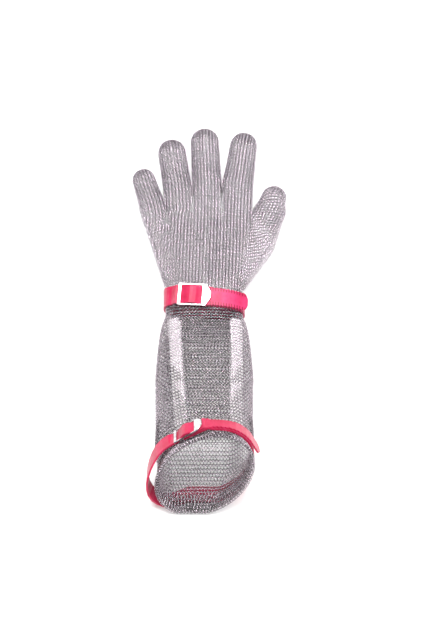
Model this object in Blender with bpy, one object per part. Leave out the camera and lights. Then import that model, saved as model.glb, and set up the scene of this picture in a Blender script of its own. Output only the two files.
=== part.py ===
"""A long-cuffed mail glove lying on its flat side, with two toothed straps, their buckles and two stays.

Lengths are metres. X runs toward the thumb, Y toward the fingertips and Z up; the glove rests on Z = 0.
Places along the glove are measured from the middle of the wrist strap, fingertips ahead of it and the cuff
behind it, and the finished meshes are moved so that the origin is the resting point under the palm.
"""

import math

import bmesh
import bpy
from mathutils import Vector

# The mail and the space kept between neighbouring pieces
WALL = 0.0018
GAP = 0.0003
REST_AHEAD = 0.060
HEM_WALL = 0.0032
FLATTEN = 0.12
FINGERS = ("thumb", "index", "middle", "ring", "little")
FINGER_POINTS = 12
PALM_SHARES = (0.0, 0.09, 0.5, 0.91)
GROOVE_HEIGHTS = (0.95, 0.99, 1.0, 0.99)
TOP_POINTS = len(FINGERS) * len(PALM_SHARES) + 1
LOOP_POINTS = 2 * TOP_POINTS + 2

# The wrist, where the palm and the cuff meet under the strap
WRIST_HALF_WIDTH = 0.0403
WRIST_CENTRE_X = -0.0008
WRIST_HEIGHT = 0.035
WRIST_POWER = 2.8
WRIST_AHEAD = 0.018
WRIST_BEHIND = 0.0125

# The straps lie over the mail and under it
STRAP_THICKNESS = 0.002
STRAP_HALF_WIDTH = 0.0102
CUFF_STRAP_HALF_WIDTH = 0.0087
STRAP_LIFT = STRAP_THICKNESS + GAP
STRAP_AHEAD = 0.003
STRAP_SLOPE = 0.09
MITRE_LIMIT = 0.6
# The free end of each strap: the station at which it leaves the wrapped part, and how far it runs straight on
FREE_ENDS = {"wrist": (4, 0.009), "cuff": (4, 0.014)}
# Its rounded tip, as distances from the end and shares of the half width
FREE_TIP = ((0.0068, 1.0), (0.0030, 0.86), (0.0011, 0.6), (0.0, 0.3))
TOOTH_PITCH = 0.004
TOOTH_DEPTH = 0.0011
END_WIDTH = 0.62

# The hand, with each place as (across, ahead of the wrist strap)
KNUCKLES = (
    (0.0693, 0.0635),
    (0.0483, 0.1000),
    (0.0178, 0.1050),
    (-0.0136, 0.1050),
    (-0.0410, 0.1050),
    (-0.0640, 0.0970),
)
CROTCHES = (
    (0.0855, 0.1090),
    (0.0485, 0.1047),
    (0.0178, 0.1400),
    (-0.0136, 0.1365),
    (-0.0420, 0.1178),
    (-0.0668, 0.1060),
)
TIPS = (
    (0.0784, 0.1390),
    (0.0438, 0.2010),
    (-0.0002, 0.2060),
    (-0.0370, 0.1934),
    (-0.0682, 0.1590),
)
LEANS = (25.0, 12.0, 0.0, -8.5, -18.0)
TIP_HALF_WIDTHS = (0.0134, 0.0144, 0.0152, 0.0149, 0.0123)
ROOT_HEIGHT = 0.025
SIDE_SHARE = 0.45
OUTER_LIFT = 0.003
OUTER_INSET = 0.025
ROOT_GAP = 1.4 * GAP
TIP_HEIGHT = 0.0175
TIP_MIDDLE = 0.0082
ROOT_POWER = 7.0
BODY_POWER = 2.3
ROUNDING_START = 0.2
ROUNDING_RATE = 2.0
FINGER_ROWS = 7
DOME_ANGLES = (32.0, 58.0, 78.0)
DOME_POWER = 0.8
PALM_ROWS = (0.0, 0.14, 0.3, 0.5, 0.7, 0.87, 1.0)

# The cuff, whose open rim leans away from the wrist
CUFF_HALF_WIDTH = 0.0512
CUFF_TOP_LENGTH = 0.172
CUFF_UNDERSIDE_LENGTH = 0.227
RIM_HEIGHT = 0.090
RIM_LEAN = 0.014
RIM_POWER = 2.05
RIM_FLATTEN = 0.03
HEM_START = 0.945
TROUGH_DEPTH = 0.0045
TROUGH_CENTRE_X = 0.0035
TROUGH_HALF_WIDTH = 0.027
# Shares along the cuff, of the way from the wrist's half width and height to the rim's, of the strap's lift
# and of the trough's depth
CUFF_ROWS = (
    (0.0, 0.0, 0.0, 1.0, 0.0),
    (0.07, 0.436, 0.067, 0.3, 0.2),
    (0.14, 0.648, 0.133, 0.0, 0.5),
    (0.25, 0.836, 0.231, 0.0, 0.9),
    (0.38, 1.0, 0.313, 0.0, 1.0),
    (0.52, 0.953, 0.395, 0.0, 1.0),
    (0.66, 0.906, 0.46, 0.0, 0.8),
    (0.78, 0.97, 0.509, 0.1, 0.5),
    (0.85, 0.70, 0.56, 1.0, 0.25),
    (0.905, 0.68, 0.69, 1.0, 0.1),
    (0.955, 0.70, 0.81, 1.0, 0.0),
    (1.0, 0.906, 1.0, 1.0, 0.0),
)
CUFF_STRAP_ROW = 0.905
CUFF_STRAP_REACH = 0.04
SLACK = 0.0085
SLACK_FROM, SLACK_TO = 140.0, 247.0
SLIP = 0.011
SLIP_FROM, SLIP_TO = 160.0, 262.0
PRESS_DEPTH = 0.003
PRESS_REACH = 0.055
PRESS_EASE = 0.035

# The stays, flat strips under the upper side of the cuff, with their ends as shares of its half width
STAY_HALF_WIDTH = 0.00625
STAY_THICKNESS = 0.0015
STAY_CLEARANCE = 0.0007
STAY_REACH = 0.02
STAY_ROWS = (0.03, 0.04, 0.07, 0.14, 0.25, 0.38, 0.52, 0.66, 0.78, 0.83, 0.845)
STAY_WIDTHS = (0.45, 0.82, 1.0, 1.0, 1.0, 1.0, 1.0, 1.0, 1.0, 0.82, 0.45)
STAY_ENDS = {"stay_left": (-0.664, -0.498), "stay_right": (0.674, 0.654)}

# A buckle's places along the strap, from its middle bar, and its heights above the strap's inner face
BUCKLE_METAL = 0.0014
BUCKLE_INNER = 0.0106
BUCKLE_OUTER = 0.0121
BAR_WIDTH = 0.0032
FRAME_START = -0.0154
PLATE_START = 0.0098
PLATE_END = 0.0146
TONGUE_END = 0.0193
TONGUE_MIDDLE = 0.0174
TONGUE_WIDTH = 0.0066
TONGUE_END_WIDTH = 0.0027
BAR_HALF_WIDTH = 0.0012
OVER_STRAP = STRAP_THICKNESS + GAP
MIDDLE_RISE = 0.0012
TONGUE_RISES = (0.0023, 0.0025, 0.0029, 0.0034)
ARCH = (
    (0.0205, 0.0023),
    (0.0150, 0.0023),
    (0.0094, 0.0023),
    (0.0065, 0.0033),
    (0.0033, 0.0048),
    (0.0000, 0.0054),
    (-0.0033, 0.0049),
    (-0.0064, 0.0034),
    (-0.0092, 0.0014),
    (-0.0119, 0.0),
    (-0.0180, 0.0),
)
TAIL = (0.0235, 0.0190, 0.0060, -0.0045, -0.0062)
END_ROOM = 0.0003
BUCKLE_DEPTH = 0.012
EDGE_BREAK = 0.0003
EDGE_ANGLE = 50.0
WRIST_BUCKLE_X = -0.0130
CUFF_BUCKLE_INDEX = 15
CUFF_BUCKLE_LIFT = 3.0
CUFF_BUCKLE_STAND = 0.0009
RIVET_RADIUS = 0.0016
RIVET_HEIGHT = 0.0009
RIVET_PLACES = (-0.0036, 0.0045)
RIVET_SIDES = 10
RIVET_PROFILE = ((1.0, 0.0), (1.0, 0.5), (0.55, 1.0))

# Each finish with its colour, how metallic it is and how rough
FINISHES = (
    ("mail_steel", (0.48, 0.46, 0.48), 1.0, 0.35),
    ("strap_plastic", (0.84, 0.10, 0.22), 0.0, 0.45),
    ("stay_plastic", (0.86, 0.85, 0.85), 0.0, 0.5),
    ("buckle_steel", (0.80, 0.80, 0.80), 1.0, 0.2),
)


def blend(start, end, share):
    """The value, or the vector, that lies the given share of the way from start to end."""
    return start + (end - start) * share


def ease(share):
    """A share that starts and stops slowly."""
    return share * share * (3 - 2 * share)


def table_row(share):
    """The cuff's sizes at a share of its length, straight between the rows of the table."""
    for first, second in zip(CUFF_ROWS, CUFF_ROWS[1:]):
        if share <= second[0]:
            part = (share - first[0]) / (second[0] - first[0])
            return [blend(a, b, part) for a, b in zip(first, second)]
    return list(CUFF_ROWS[-1])


def oval(angle, half_width, top, underside, power, flatten=FLATTEN):
    """A point of a closed section with a flattened underside, as (across, height)."""
    across, up = math.cos(angle), math.sin(angle)
    sunk = underside - flatten * (top - underside)
    half_height = (top - sunk) / 2
    x = half_width * math.copysign(abs(across) ** (2 / power), across)
    z = sunk + half_height * (1 + math.copysign(abs(up) ** (2 / power), up))
    return x, max(z, underside)


def loop_angle(index):
    """The angle of one of the wrist's points, from the thumb side over the top."""
    return 2 * math.pi * index / LOOP_POINTS


def wrist_point(index, ahead, underside):
    """A point of the wrist's section."""
    x, z = oval(loop_angle(index), WRIST_HALF_WIDTH, WRIST_HEIGHT, underside, WRIST_POWER)
    return Vector((WRIST_CENTRE_X + x, ahead, z))


def knuckle_point(index):
    """A point of the palm's far edge, where the fingers and the thumb begin."""
    if index == 0:
        return Vector((*KNUCKLES[0], ROOT_HEIGHT * SIDE_SHARE))
    if index == TOP_POINTS + 1:
        return Vector((*KNUCKLES[-1], ROOT_HEIGHT * SIDE_SHARE))
    under = index > TOP_POINTS
    column = LOOP_POINTS - index - 1 if under else index - 1
    finger, place = divmod(column, len(PALM_SHARES))
    outer = column in (0, TOP_POINTS - 1)
    if finger == len(FINGERS):
        finger, share = finger - 1, 1 - OUTER_INSET
    else:
        share = OUTER_INSET if outer else PALM_SHARES[place]
    start, end = Vector(KNUCKLES[finger]), Vector(KNUCKLES[finger + 1])
    x, y = blend(start, end, share)
    if under:
        return Vector((x, y, OUTER_LIFT if outer else 0.0))
    return Vector((x, y, ROOT_HEIGHT * GROOVE_HEIGHTS[place]))


def palm_rows():
    """The palm's sections, from under the strap to the knuckles."""
    rows = [
        [wrist_point(index, ahead, STRAP_LIFT) for index in range(LOOP_POINTS)]
        for ahead in (GAP / 2, WRIST_AHEAD)
    ]
    for share in PALM_ROWS[1:]:
        row = []
        for index in range(LOOP_POINTS):
            start = wrist_point(index, WRIST_AHEAD, 0.0)
            row.append(blend(start, knuckle_point(index), share))
        rows.append(row)
    return rows


def along(points, share):
    """The place at a share of the length of a line through three points."""
    first, second = (points[1] - points[0]).length, (points[2] - points[1]).length
    distance = share * (first + second)
    if distance <= first:
        return blend(points[0], points[1], distance / first)
    return blend(points[1], points[2], (distance - first) / second)


def finger_section(centre, half, height, power):
    """One section of a finger: centre and half are flat vectors, half points to the thumb side."""
    section = []
    for index in range(FINGER_POINTS):
        x, z = oval(2 * math.pi * index / FINGER_POINTS, 1.0, height, 0.0, power)
        place = centre + half * x
        section.append(Vector((place.x, place.y, z)))
    return section


def finger_rows(finger):
    """The sections of a finger from its root to the end of its domed tip, and the tip's own point."""
    lean = math.radians(LEANS[finger])
    direction = Vector((math.sin(lean), math.cos(lean)))
    side = Vector((direction.y, -direction.x))
    radius = TIP_HALF_WIDTHS[finger]
    tip = Vector(TIPS[finger])
    shoulder = tip - direction * radius
    root_gap = direction * ROOT_GAP
    right = (Vector(KNUCKLES[finger]) + root_gap, Vector(CROTCHES[finger]), shoulder + side * radius)
    left = (Vector(KNUCKLES[finger + 1]) + root_gap, Vector(CROTCHES[finger + 1]), shoulder - side * radius)
    rows = []
    for number in range(FINGER_ROWS + 1):
        share = number / FINGER_ROWS
        start, end = along(left, share), along(right, share)
        half = (end - start) / 2
        half *= 1 - GAP / half.length
        rounding = min(1.0, max(0.0, share - ROUNDING_START) * ROUNDING_RATE)
        power = blend(ROOT_POWER, BODY_POWER, ease(rounding))
        height = blend(ROOT_HEIGHT, TIP_HEIGHT, ease(share))
        rows.append(finger_section((start + end) / 2, half, height, power))
    for degrees in DOME_ANGLES:
        turn = math.radians(degrees)
        centre = shoulder + direction * (radius * math.sin(turn))
        row = finger_section(centre, side * (radius * math.cos(turn)), TIP_HEIGHT, BODY_POWER)
        for point in row:
            point.z = TIP_MIDDLE + (point.z - TIP_MIDDLE) * math.cos(turn) ** DOME_POWER
        rows.append(row)
    return rows, Vector((tip.x, tip.y, TIP_MIDDLE))


def plain_cuff_point(share, index):
    """A point of the cuff's outer face before it is pressed, at a share of its length and on a wrist's line."""
    _, width, height, lift, trough = table_row(share)
    power = blend(WRIST_POWER, RIM_POWER, share)
    flatten = blend(FLATTEN, RIM_FLATTEN, share**4)
    half_width = blend(WRIST_HALF_WIDTH, CUFF_HALF_WIDTH, width)
    top = blend(WRIST_HEIGHT, RIM_HEIGHT, height)
    x, z = oval(loop_angle(index), half_width, top, STRAP_LIFT * lift, power, flatten)
    x += blend(WRIST_CENTRE_X, 0.0, share) + RIM_LEAN * share**3 * (2 * z / top - 1)
    if z > top / 2:
        off = min(1.0, abs(x - TROUGH_CENTRE_X) / TROUGH_HALF_WIDTH)
        z -= TROUGH_DEPTH * trough * (1 - off**4)
    length = blend(CUFF_UNDERSIDE_LENGTH, CUFF_TOP_LENGTH, z / top) - WRIST_BEHIND
    return Vector((x, -WRIST_BEHIND - share * length, z))


def station(before, here, after, across):
    """A strap's station on the line between two neighbours: its place, its outward vector and its width axis."""
    run = (after - before).normalized()
    across = (across - run * across.dot(run)).normalized()
    first = across.cross(here - before).normalized()
    second = across.cross(after - here).normalized()
    out = (first + second).normalized()
    return here, out / max(MITRE_LIMIT, out.dot(second)), across


def cuff_axes(point_at, index):
    """Under the cuff strap: the place, the outward vector and the direction toward the wrist."""
    before, here, after = (point_at(CUFF_STRAP_ROW, index + step) for step in (-1, 0, 1))
    fore = point_at(CUFF_STRAP_ROW + CUFF_STRAP_REACH, index)
    aft = point_at(CUFF_STRAP_ROW - CUFF_STRAP_REACH, index)
    return station(before, here, after, (aft - fore).normalized())


def cuff_point(share, index):
    """A point of the cuff's outer face, pressed flat under the buckle."""
    point = plain_cuff_point(share, index)
    off = abs(share - CUFF_STRAP_ROW) - PRESS_REACH
    weight = 1 - ease(min(1.0, max(0.0, off / PRESS_EASE)))
    if weight == 0:
        return point
    place, out, _ = cuff_axes(plain_cuff_point, CUFF_BUCKLE_INDEX)
    out = out.normalized()
    depth = max(0.0, (point - place).dot(out) + PRESS_DEPTH)
    return point - out * (depth * weight)


def cuff_rows():
    """The cuff's sections, from the rim to under the wrist strap."""
    shares = sorted([row[0] for row in CUFF_ROWS] + [HEM_START], reverse=True)
    rows = [[cuff_point(share, index) for index in range(LOOP_POINTS)] for share in shares]
    rows.append([wrist_point(index, -GAP / 2, STRAP_LIFT) for index in range(LOOP_POINTS)])
    return rows


def cuff_top(share, x):
    """The point of the cuff's upper face at a share of its length and a place across it."""
    after = next(row[0] for row in CUFF_ROWS[1:] if row[0] >= share)
    before = max(row[0] for row in CUFF_ROWS if row[0] < after)
    part = (share - before) / (after - before)
    points = []
    for index in range(1, TOP_POINTS + 1):
        points.append(blend(cuff_point(before, index), cuff_point(after, index), part))
    for first, second in zip(points, points[1:]):
        if first.x >= x >= second.x:
            return blend(first, second, (first.x - x) / (first.x - second.x))
    return points[0] if x > points[0].x else points[-1]


def make(name, vertices, faces, material, smooth=True):
    """A named mesh object with one material."""
    mesh = bpy.data.meshes.new(name)
    mesh.from_pydata([(v.x, v.y - REST_AHEAD, v.z) for v in vertices], [], faces)
    mesh.materials.append(material)
    piece = bpy.data.objects.new(name, mesh)
    bpy.context.collection.objects.link(piece)
    for face in mesh.polygons:
        face.use_smooth = smooth
    return piece


def row_plane(row):
    """The normal of the plane that a section lies in, on the average."""
    total = Vector()
    for first, second in zip(row, row[1:] + row[:1]):
        total += first.cross(second)
    return total.normalized()


def inner_rows(rows, tip, thick_rows):
    """The sections of a tube's inner face, one wall inside its outer face and flush at its open ends."""
    last, inner = len(rows) - 1, []
    for number, row in enumerate(rows):
        before = rows[max(0, number - 1)]
        after = rows[min(last, number + 1)]
        open_end = number == 0 or (number == last and tip is None)
        plane = row_plane(row)
        wall = HEM_WALL if number < thick_rows else WALL
        line = []
        for index, point in enumerate(row):
            around = row[(index + 1) % len(row)] - row[index - 1]
            out = (after[index] - before[index]).cross(around)
            if open_end:
                out -= plane * out.dot(plane)
            line.append(point - out.normalized() * wall)
        inner.append(line)
    return inner


def tube(name, rows, material, tip=None, thick_rows=0):
    """A hollow mail piece from its sections, open at each end that has no tip, thicker over its first rows."""
    count, last = len(rows[0]), (len(rows) - 1) * len(rows[0])
    outer = [point for row in rows for point in row]
    inner = [point for row in inner_rows(rows, tip, thick_rows) for point in row]
    shift = len(outer) + (tip is not None)
    if tip is not None:
        inward = (sum(rows[-1], Vector()) / count - tip).normalized() * WALL
        outer.append(tip)
        inner.append(tip + inward)
    faces = []
    for index in range(count):
        following = (index + 1) % count
        for here in range(0, last, count):
            quad = (here + index, here + count + index, here + count + following, here + following)
            faces.append(quad)
            faces.append(tuple(shift + corner for corner in reversed(quad)))
        faces.append((index, following, shift + following, shift + index))
        if tip is None:
            faces.append((last + following, last + index, shift + last + index, shift + last + following))
        else:
            fan = (last + index, shift - 1, last + following)
            faces.append(fan)
            faces.append(tuple(shift + corner for corner in reversed(fan)))
    return make(name, outer + inner, faces, material)


def outward(piece):
    """Turns the faces of a closed piece to the outside."""
    cleaned = bmesh.new()
    cleaned.from_mesh(piece.data)
    bmesh.ops.recalc_face_normals(cleaned, faces=cleaned.faces)
    cleaned.to_mesh(piece.data)
    cleaned.free()
    return piece


def band(name, stations, material):
    """A solid strip through stations of four corners each."""
    vertices = [corner for station in stations for corner in station]
    faces = [(0, 1, 2, 3)]
    for number in range(len(stations) - 1):
        here, there = number * 4, (number + 1) * 4
        for corner in range(4):
            following = (corner + 1) % 4
            faces.append((here + corner, here + following, there + following, there + corner))
    last = (len(stations) - 1) * 4
    faces.append((last + 3, last + 2, last + 1, last))
    return outward(make(name, vertices, faces, material, smooth=False))


class Frame:
    """Axes on the strap's inner face at a buckle's middle bar: along, outward and across the strap."""

    def __init__(self, origin, along_axis, out):
        self.origin = origin
        self.along = along_axis.normalized()
        self.out = (out - self.along * out.dot(self.along)).normalized()
        self.across = self.along.cross(self.out)

    def at(self, ahead, height, sideways=0.0):
        """The place at distances along, out from and across the strap."""
        return self.origin + self.along * ahead + self.out * height + self.across * sideways


def wrist_station(index):
    """The wrist strap's station on one of the wrist's lines, on the mail."""
    points = [wrist_point(index + step, 0.0, STRAP_LIFT) for step in (-1, 0, 1)]
    for point in points:
        point.y = STRAP_AHEAD - STRAP_SLOPE * point.x
    return station(*points, Vector((0.0, 1.0, 0.0)))


def bump(index, start, end):
    """A smooth rise to one and back between two angles in degrees of the cuff's section."""
    share = (math.degrees(loop_angle(index)) - start) / (end - start)
    return math.sin(math.pi * share) if 0 < share < 1 else 0.0


def cuff_station(index):
    """The cuff strap's station on one of the cuff's lines, off the mail where the strap is slack."""
    here, out, across = cuff_axes(cuff_point, index)
    here += out.normalized() * SLACK * bump(index, SLACK_FROM, SLACK_TO)
    here -= across * SLIP * bump(index, SLIP_FROM, SLIP_TO)
    return here, out, across


def wrist_frame():
    """The wrist buckle's axes, on the highest line of the wrist."""
    origin = Vector((WRIST_BUCKLE_X, STRAP_AHEAD - STRAP_SLOPE * WRIST_BUCKLE_X, WRIST_HEIGHT + GAP))
    return Frame(origin, Vector((1.0, -STRAP_SLOPE, 0.0)), Vector((0.0, 0.0, 1.0)))


def cuff_frame():
    """The cuff buckle's axes, on the upper side of the cuff and lifted toward its tongue."""
    here, out, across = cuff_axes(cuff_point, CUFF_BUCKLE_INDEX)
    out = out.normalized()
    lift = math.radians(CUFF_BUCKLE_LIFT)
    along_axis = across.cross(out) * math.cos(lift) + out * math.sin(lift)
    return Frame(here + out * (GAP + CUFF_BUCKLE_STAND), along_axis, out)


def corners(place, out, across, half_width):
    """The four corners of a strap's section, from the middle of its inner face."""
    side, depth = across * half_width, out * STRAP_THICKNESS
    return [place - side, place + side, place + side + depth, place - side + depth]


def toothed(run, half_width):
    """Corners along a run of stations, with the strap's edges notched at a steady pitch."""
    sections, narrow = [], False
    for first, second in zip(run, run[1:]):
        steps = max(1, round((second[0] - first[0]).length / (TOOTH_PITCH / 2)))
        for step in range(steps):
            values = [blend(a, b, step / steps) for a, b in zip(first, second)]
            sections.append(corners(*values, half_width - (TOOTH_DEPTH if narrow else 0.0)))
            narrow = not narrow
    return sections


def free_end(place, frame, station_at, half_width):
    """The strap's toothed free end over its wrapped part, from the rounded tip to the buckle's plate."""
    index, length = FREE_ENDS[place]
    lift = STRAP_THICKNESS + 2 * GAP
    stations = []
    while True:
        here, out, across = station_at(index + len(stations))
        here = here + out * lift
        if (here - frame.origin).dot(frame.along) < ARCH[0][0] + END_ROOM:
            break
        stations.append((here, out, across))
    here, out, across = stations[0]
    onward = (here - stations[1][0]).normalized()
    flat = across.cross(onward)
    flat *= math.copysign(1.0, flat.dot(out))
    tip = []
    for short, width in reversed(FREE_TIP):
        tip.append(corners(here + onward * (length - short), flat.normalized(), across, half_width * width))
    start = (here + onward * (length - FREE_TIP[0][0]), flat.normalized(), across)
    end = (frame.at(*ARCH[0]), frame.out, -frame.across)
    return tip[:-1] + toothed([start, *stations, end], half_width)


def strap(name, place, frame, station_at, half_width, material):
    """A strap from its free end under the plate, over the middle bar and once round to the riveted tail."""
    across = -frame.across
    sections = free_end(place, frame, station_at, half_width)
    sections.extend(corners(frame.at(ahead, height), frame.out, across, half_width) for ahead, height in ARCH)
    nearest = min(range(TOP_POINTS), key=lambda index: (station_at(index)[0] - frame.origin).length)
    for step in range(LOOP_POINTS):
        here, out, width_axis = station_at((nearest + step) % LOOP_POINTS)
        spot = here + out * GAP
        ahead = (spot - frame.origin).dot(frame.along)
        upper = (spot - frame.origin).dot(frame.out) > -BUCKLE_DEPTH
        if upper and ARCH[-1][0] - END_ROOM < ahead < TAIL[0] + END_ROOM:
            continue
        sections.append(corners(spot, out, width_axis, half_width))
    for ahead in TAIL:
        width = half_width * (END_WIDTH if ahead == TAIL[-1] else 1.0)
        sections.append(corners(frame.at(ahead, 0.0), frame.out, across, width))
    return band(name, sections, material)


def buckle(name, frame, inner, outer, material):
    """A bent plate with two windows, a bar at each side of the first and a tongue over the strap."""
    rail, bars, plate = (True, False, True), (True, True, True), (False, True, False)
    stations = (
        (FRAME_START, 0.0, inner, bars),
        (FRAME_START + BAR_WIDTH, 0.0, inner, rail),
        (-BAR_HALF_WIDTH, MIDDLE_RISE, inner, bars),
        (BAR_HALF_WIDTH, MIDDLE_RISE, inner, rail),
        (PLATE_START, TONGUE_RISES[0], inner, bars),
        (PLATE_END, TONGUE_RISES[1], inner, plate),
        (TONGUE_MIDDLE, TONGUE_RISES[2], TONGUE_WIDTH, plate),
        (TONGUE_END, TONGUE_RISES[3], TONGUE_END_WIDTH, None),
    )
    shape = bmesh.new()
    grid = []
    for ahead, rise, near, _ in stations:
        line = []
        for sideways in (-outer, -near, near, outer):
            low = shape.verts.new(frame.at(ahead, OVER_STRAP + rise, sideways))
            high = shape.verts.new(frame.at(ahead, OVER_STRAP + rise + BUCKLE_METAL, sideways))
            line.append((low, high))
        grid.append(line)
    cells = {(row, lane) for row, station in enumerate(stations[:-1]) for lane in range(3) if station[3][lane]}
    for row, lane in sorted(cells):
        ring = (grid[row][lane], grid[row][lane + 1], grid[row + 1][lane + 1], grid[row + 1][lane])
        shape.faces.new([pair[1] for pair in ring])
        shape.faces.new([pair[0] for pair in reversed(ring)])
        neighbours = ((row - 1, lane), (row, lane + 1), (row + 1, lane), (row, lane - 1))
        for side, neighbour in enumerate(neighbours):
            if neighbour not in cells:
                one, two = ring[side], ring[(side + 1) % 4]
                shape.faces.new((one[0], two[0], two[1], one[1]))
    for vertex in [v for v in shape.verts if not v.link_faces]:
        shape.verts.remove(vertex)
    bmesh.ops.recalc_face_normals(shape, faces=shape.faces)
    for vertex in shape.verts:
        vertex.co.y -= REST_AHEAD
    mesh = bpy.data.meshes.new(name)
    shape.to_mesh(mesh)
    shape.free()
    mesh.materials.append(material)
    piece = bpy.data.objects.new(name, mesh)
    bpy.context.collection.objects.link(piece)
    edge = piece.modifiers.new("Edge", "BEVEL")
    edge.width = EDGE_BREAK
    edge.segments = 1
    edge.limit_method = "ANGLE"
    edge.angle_limit = math.radians(EDGE_ANGLE)
    return piece


def rivet(name, frame, ahead, material):
    """A low domed rivet head on the strap's tail, under the arch."""
    vertices, faces = [], []
    for share, rise in RIVET_PROFILE:
        for index in range(RIVET_SIDES):
            turn = 2 * math.pi * index / RIVET_SIDES
            radius = RIVET_RADIUS * share
            height = OVER_STRAP + RIVET_HEIGHT * rise
            vertices.append(frame.at(ahead + radius * math.cos(turn), height, radius * math.sin(turn)))
    for ring in range(len(RIVET_PROFILE) - 1):
        here, there = ring * RIVET_SIDES, (ring + 1) * RIVET_SIDES
        for index in range(RIVET_SIDES):
            following = (index + 1) % RIVET_SIDES
            faces.append((here + index, here + following, there + following, there + index))
    faces.append(tuple(range(RIVET_SIDES)))
    top = (len(RIVET_PROFILE) - 1) * RIVET_SIDES
    faces.append(tuple(range(top, top + RIVET_SIDES)))
    return outward(make(name, vertices, faces, material))


def stay(name, material):
    """A flat strip with rounded ends that lies against the inside of the cuff's upper face."""
    start, end = (CUFF_HALF_WIDTH * place for place in STAY_ENDS[name])
    stations = []
    for share, width in zip(STAY_ROWS, STAY_WIDTHS):
        x = blend(start, end, (share - STAY_ROWS[0]) / (STAY_ROWS[-1] - STAY_ROWS[0]))
        half = STAY_HALF_WIDTH * width
        one, two = cuff_top(share, x - half), cuff_top(share, x + half)
        lengthwise = cuff_top(share + STAY_REACH, x) - cuff_top(share - STAY_REACH, x)
        out = (two - one).cross(lengthwise).normalized()
        if out.z < 0:
            out = -out
        upper, lower = WALL + STAY_CLEARANCE, WALL + STAY_CLEARANCE + STAY_THICKNESS
        stations.append([one - out * upper, two - out * upper, two - out * lower, one - out * lower])
    return band(name, stations, material)


def finish(name, colour, metallic, roughness):
    """A named plain material."""
    material = bpy.data.materials.new(name)
    material.use_nodes = True
    shader = material.node_tree.nodes["Principled BSDF"]
    shader.inputs["Base Color"].default_value = (*colour, 1.0)
    shader.inputs["Metallic"].default_value = metallic
    shader.inputs["Roughness"].default_value = roughness
    return material


def main():
    """Builds every piece of the glove."""
    for piece in list(bpy.data.objects):
        bpy.data.objects.remove(piece, do_unlink=True)
    mail, soft, white, bright = (finish(*values) for values in FINISHES)
    tube("mail_palm", palm_rows(), mail)
    for finger, name in enumerate(FINGERS):
        rows, tip = finger_rows(finger)
        tube("mail_thumb" if name == "thumb" else f"mail_{name}_finger", rows, mail, tip)
    tube("mail_cuff", cuff_rows(), mail, thick_rows=sum(row[0] > HEM_START for row in CUFF_ROWS))
    for name in STAY_ENDS:
        stay(name, white)
    narrower = CUFF_STRAP_HALF_WIDTH - STRAP_HALF_WIDTH
    fittings = (
        ("wrist", wrist_frame(), wrist_station, 0.0),
        ("cuff", cuff_frame(), cuff_station, narrower),
    )
    for place, frame, station_at, wider in fittings:
        strap(f"{place}_strap", place, frame, station_at, STRAP_HALF_WIDTH + wider, soft)
        buckle(f"{place}_buckle", frame, BUCKLE_INNER + wider, BUCKLE_OUTER + wider, bright)
        for number, ahead in enumerate(RIVET_PLACES, 1):
            rivet(f"{place}_rivet_{number}", frame, ahead, bright)


main()
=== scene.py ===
"""A long-cuffed ring-mail glove lying flat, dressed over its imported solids.

Lengths are metres, and angles degrees. X runs toward the thumb, Y toward the fingertips and Z up. Places
along the glove are worked out from the middle of the wrist strap, and moved by REST_AHEAD into the shared
frame at the end.
"""

import logging
import math
from dataclasses import dataclass, field, fields
from enum import Enum

import bpy
import numpy as np
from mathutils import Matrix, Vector

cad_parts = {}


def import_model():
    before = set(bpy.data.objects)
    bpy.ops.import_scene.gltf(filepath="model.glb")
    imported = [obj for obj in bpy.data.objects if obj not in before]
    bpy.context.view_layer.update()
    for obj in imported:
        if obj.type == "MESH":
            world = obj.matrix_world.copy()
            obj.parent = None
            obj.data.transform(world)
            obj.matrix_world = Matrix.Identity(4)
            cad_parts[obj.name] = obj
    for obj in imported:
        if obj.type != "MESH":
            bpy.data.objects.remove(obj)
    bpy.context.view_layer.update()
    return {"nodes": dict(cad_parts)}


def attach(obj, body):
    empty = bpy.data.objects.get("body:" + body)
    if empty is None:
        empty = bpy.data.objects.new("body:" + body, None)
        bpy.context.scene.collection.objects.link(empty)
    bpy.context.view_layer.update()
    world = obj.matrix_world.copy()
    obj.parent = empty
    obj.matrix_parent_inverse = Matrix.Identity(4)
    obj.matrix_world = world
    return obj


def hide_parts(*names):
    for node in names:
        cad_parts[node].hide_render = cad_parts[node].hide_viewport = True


LOG = logging.getLogger("glove")

Array = np.ndarray
Object = bpy.types.Object
Material = bpy.types.Material
Socket = bpy.types.NodeSocket
Amount = float | Array
Pair = tuple[float, float]
Colour = tuple[float, float, float]
Stops = tuple[tuple[float, Colour], ...]

REST_AHEAD = 0.060
UNDERSIDE_CUT = 0.12
NORMAL_STEP = 0.08
TINY = 1e-12
NOISE_RANGE = (0.3, 0.7)
RELIEF_DEPTH = 0.00005


def blend(start: Amount, end: Amount, share: Amount) -> Amount:
    """The value that lies the given share of the way from start to end."""
    return start + (end - start) * share


def ease(share: Amount) -> Amount:
    """A share that starts and stops slowly."""
    return share * share * (3 - 2 * share)


def signed_power(values: Array, power: float) -> Array:
    """Values raised to a power, each with its own sign kept."""
    return np.copysign(np.abs(values) ** power, values)


def unit(vectors: Array) -> Array:
    """Vectors brought to a length of one."""
    return vectors / np.maximum(np.linalg.norm(vectors, axis=-1, keepdims=True), TINY)


def loop_angles(points: int) -> Array:
    """The angles of a section's points in radians, from the thumb side over the top."""
    return np.arange(points) * 2 * math.pi / points


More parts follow.
